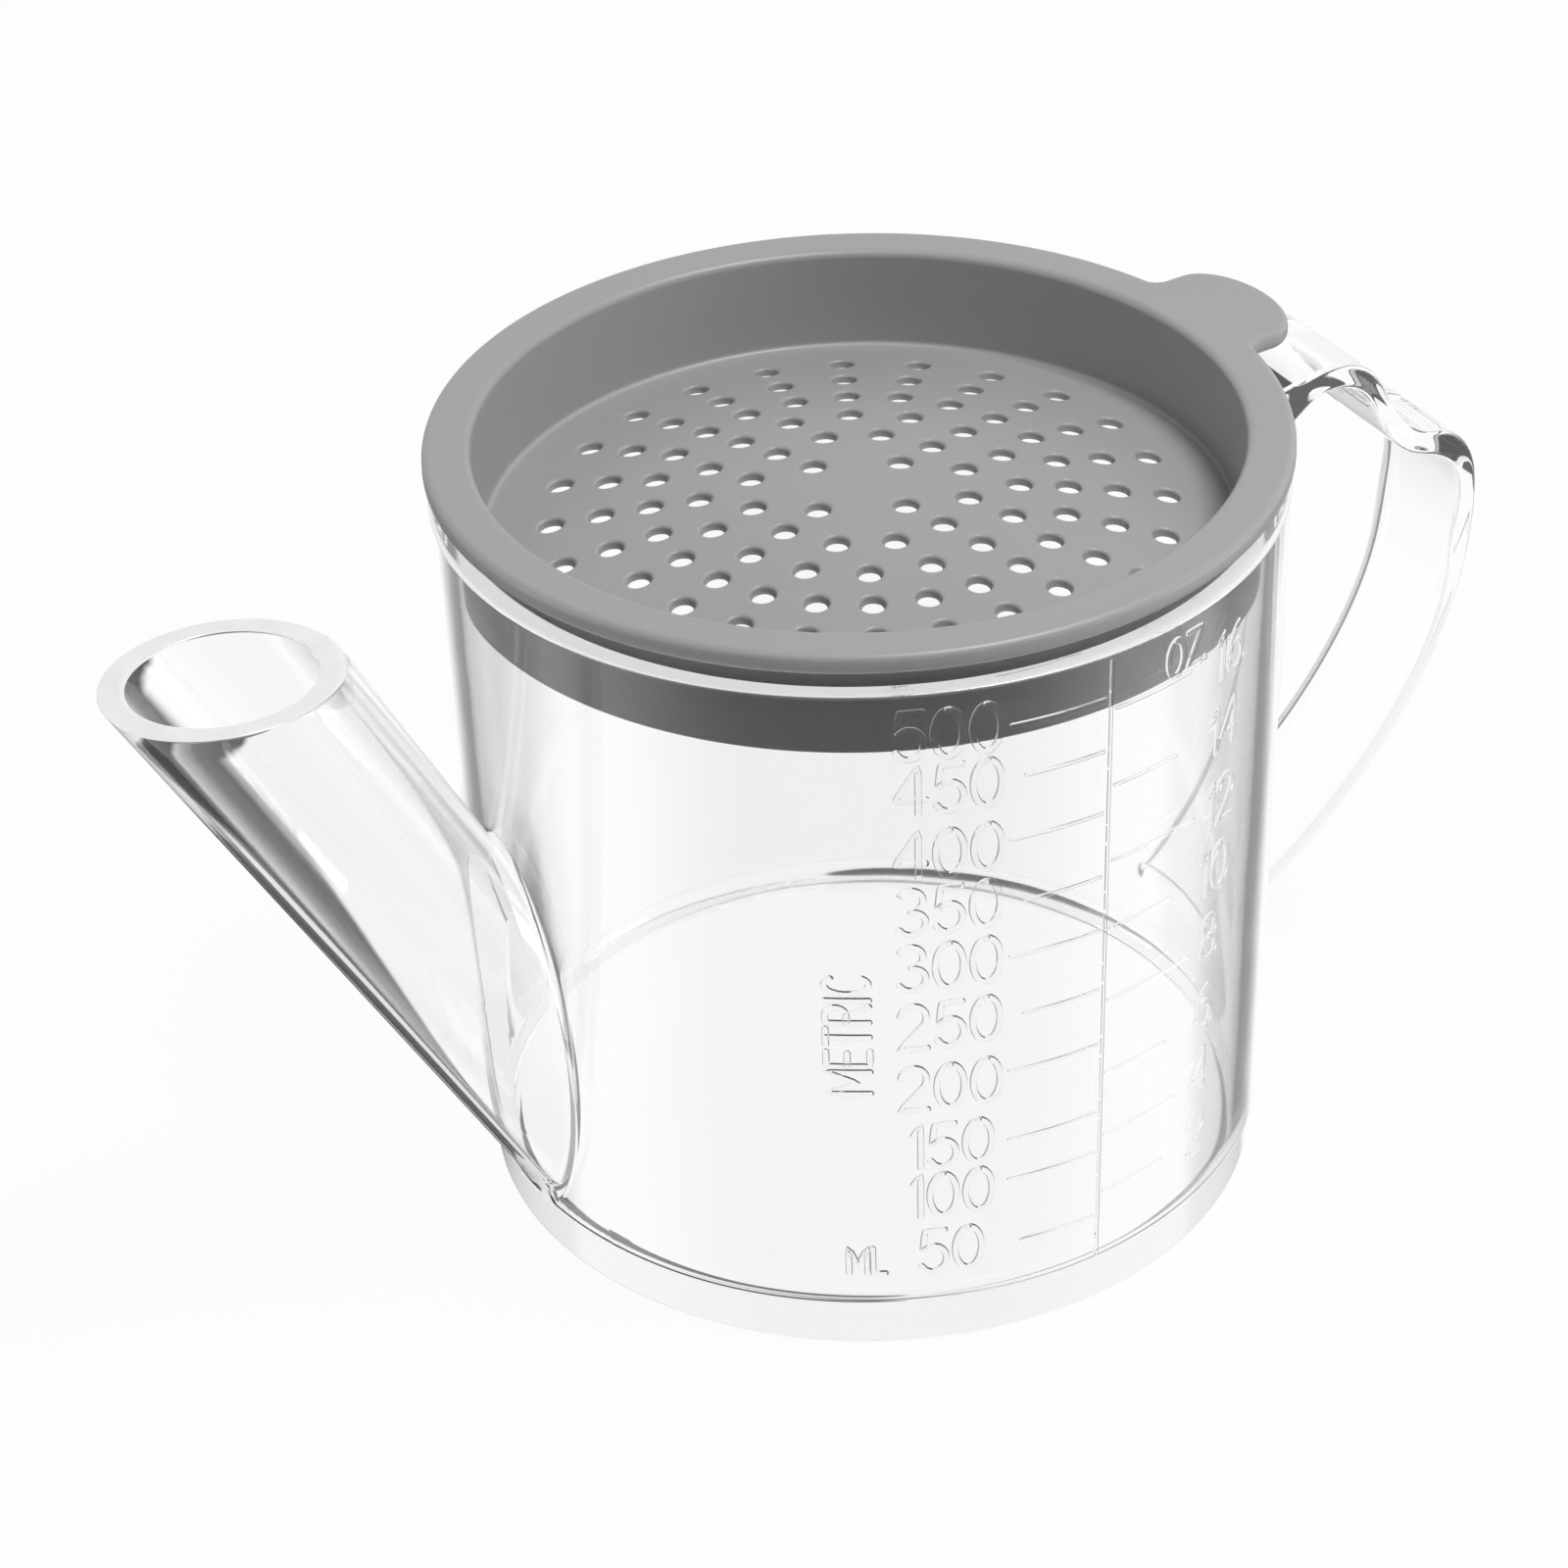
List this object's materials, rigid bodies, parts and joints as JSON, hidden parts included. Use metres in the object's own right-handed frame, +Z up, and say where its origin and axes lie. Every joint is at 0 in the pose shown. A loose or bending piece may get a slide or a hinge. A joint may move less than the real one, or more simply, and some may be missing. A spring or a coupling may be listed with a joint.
{
  "type": "gravy fat separator",
  "caption": "Clear measuring jug with a slanted spout that leaves from its floor, a waved strap handle and a lift-out strainer lid with a domed, perforated floor.",
  "frame": {"origin": "centre of the foot, on the table", "axes": "+Z up along the axis of the cup, +X towards the mouth of the spout, the handle on -X"},
  "size_m": [0.171, 0.0966, 0.0929],
  "materials": {
    "clear_plastic": "clear, glossy moulded plastic",
    "grey_plastic": "satin moulded plastic, mid grey"
  },
  "bodies": {
    "jug": {"jug_cup": "clear_plastic", "pouring_spout": "clear_plastic", "carry_handle": "clear_plastic"},
    "strainer": {"strainer_lid": "grey_plastic"}
  },
  "joints": [
    {"name": "strainer_lift", "type": "slide", "parent": "jug", "child": "strainer", "axis": [0, 0, 1], "range_m": [0, 0.06]}
  ]
}
